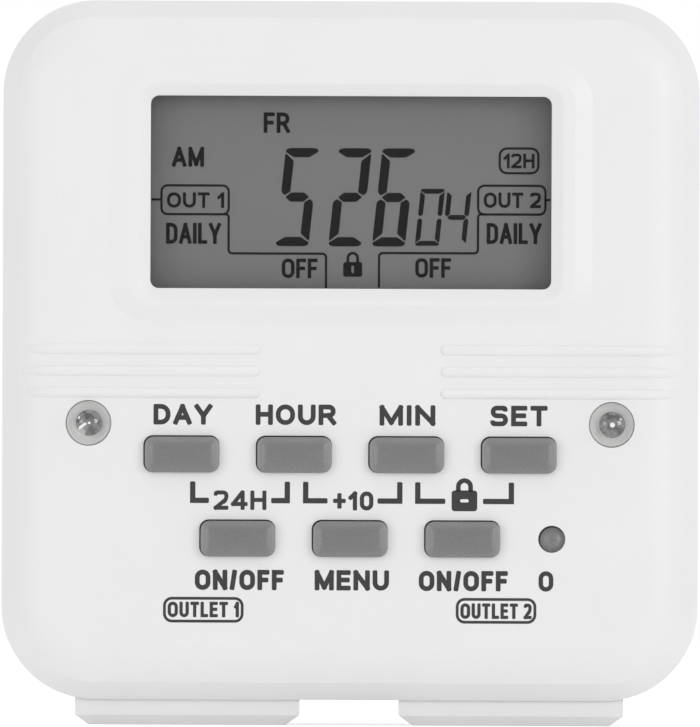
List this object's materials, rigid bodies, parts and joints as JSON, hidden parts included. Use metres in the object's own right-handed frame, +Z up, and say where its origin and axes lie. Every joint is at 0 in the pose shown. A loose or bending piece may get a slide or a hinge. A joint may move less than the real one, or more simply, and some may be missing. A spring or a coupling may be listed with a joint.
{
  "type": "plug-in timer",
  "caption": "Square plug-in digital timer with a framed clock display, push keys, domed indicator lamps, a three-pin plug behind and switched outlets in its lower edge.",
  "frame": {"origin": "on the face that meets the wall, midway between the plug's two flat blades", "axes": "+Y into the wall along the plug, +Z up, +X right for someone who faces the timer"},
  "size_m": [0.09, 0.0628, 0.0937],
  "materials": {
    "housing_white": "fine satin moulded texture",
    "key_grey": "satin",
    "window_clear": "clear polished plastic",
    "lcd_glass": "grey reflective display glass",
    "frame_white": "moulded",
    "zebra_rubber": "layered strip",
    "switch_black": "moulded",
    "plunger_black": "moulded",
    "lamp_clear": "clear polished resin",
    "board_green": "lacquered board",
    "screw_steel": "zinc plated",
    "can_steel": "bright can",
    "chip_black": "moulded resin",
    "relay_black": "moulded case",
    "capacitor_yellow": "moulded box",
    "sleeve_dark": "shrunk sleeve",
    "varistor_blue": "dipped coating",
    "resistor_tan": "lacquer",
    "blade_brass": "bright stamped",
    "contact_brass": "stamped strip",
    "clamp_nylon": "natural moulding"
  },
  "bodies": {
    "housing": {"front_cover": "housing_white", "rear_cover": "housing_white", "display_window": "window_clear", "lcd_panel": "lcd_glass", "lcd_frame": "frame_white", "zebra_strips": "zebra_rubber", "tactile_switches": "switch_black", "left_lamp": "lamp_clear", "right_lamp": "lamp_clear", "lamp_spacers": "frame_white", "control_board": "board_green", "control_board_screws": "screw_steel", "controller_chip": "chip_black", "clock_crystal": "can_steel", "backup_battery": "can_steel", "power_board": "board_green", "power_board_screws": "screw_steel", "left_relay": "relay_black", "right_relay": "relay_black", "dropper_capacitor": "capacitor_yellow", "smoothing_capacitor": "sleeve_dark", "surge_varistor": "varistor_blue", "board_fuse": "chip_black", "bridge_rectifier": "chip_black", "dropper_resistors": "resistor_tan", "relay_diodes": "chip_black", "relay_transistors": "chip_black", "link_header": "switch_black", "link_socket": "switch_black", "line_blade": "blade_brass", "neutral_blade": "blade_brass", "earth_pin": "blade_brass", "blade_clamp": "clamp_nylon", "clamp_screws": "screw_steel", "left_outlet_face": "housing_white", "right_outlet_face": "housing_white", "left_contact_carrier": "clamp_nylon", "right_contact_carrier": "clamp_nylon", "left_line_contact": "contact_brass", "right_line_contact": "contact_brass", "neutral_bus": "contact_brass", "earth_bus": "contact_brass", "housing_screws": "screw_steel"},
    "day_button": {"day_key": "key_grey", "day_switch_plunger": "plunger_black"},
    "hour_button": {"hour_key": "key_grey", "hour_switch_plunger": "plunger_black"},
    "minute_button": {"minute_key": "key_grey", "minute_switch_plunger": "plunger_black"},
    "set_button": {"set_key": "key_grey", "set_switch_plunger": "plunger_black"},
    "left_mode_button": {"left_mode_key": "key_grey", "left_mode_switch_plunger": "plunger_black"},
    "program_button": {"program_key": "key_grey", "program_switch_plunger": "plunger_black"},
    "right_mode_button": {"right_mode_key": "key_grey", "right_mode_switch_plunger": "plunger_black"},
    "reset_button": {"reset_key": "key_grey", "reset_switch_plunger": "plunger_black"}
  },
  "joints": [
    {"name": "day_press", "type": "slide", "parent": "housing", "child": "day_button", "axis": [0, 1, 0], "range_m": [0, 0.0005], "stiffness_N_per_m": 1500, "springref_m": -0.0005},
    {"name": "hour_press", "type": "slide", "parent": "housing", "child": "hour_button", "axis": [0, 1, 0], "range_m": [0, 0.0005], "stiffness_N_per_m": 1500, "springref_m": -0.0005},
    {"name": "minute_press", "type": "slide", "parent": "housing", "child": "minute_button", "axis": [0, 1, 0], "range_m": [0, 0.0005], "stiffness_N_per_m": 1500, "springref_m": -0.0005},
    {"name": "set_press", "type": "slide", "parent": "housing", "child": "set_button", "axis": [0, 1, 0], "range_m": [0, 0.0005], "stiffness_N_per_m": 1500, "springref_m": -0.0005},
    {"name": "left_mode_press", "type": "slide", "parent": "housing", "child": "left_mode_button", "axis": [0, 1, 0], "range_m": [0, 0.0005], "stiffness_N_per_m": 1500, "springref_m": -0.0005},
    {"name": "program_press", "type": "slide", "parent": "housing", "child": "program_button", "axis": [0, 1, 0], "range_m": [0, 0.0005], "stiffness_N_per_m": 1500, "springref_m": -0.0005},
    {"name": "right_mode_press", "type": "slide", "parent": "housing", "child": "right_mode_button", "axis": [0, 1, 0], "range_m": [0, 0.0005], "stiffness_N_per_m": 1500, "springref_m": -0.0005},
    {"name": "reset_press", "type": "slide", "parent": "housing", "child": "reset_button", "axis": [0, 1, 0], "range_m": [0, 0.0005], "stiffness_N_per_m": 1500, "springref_m": -0.0005}
  ]
}
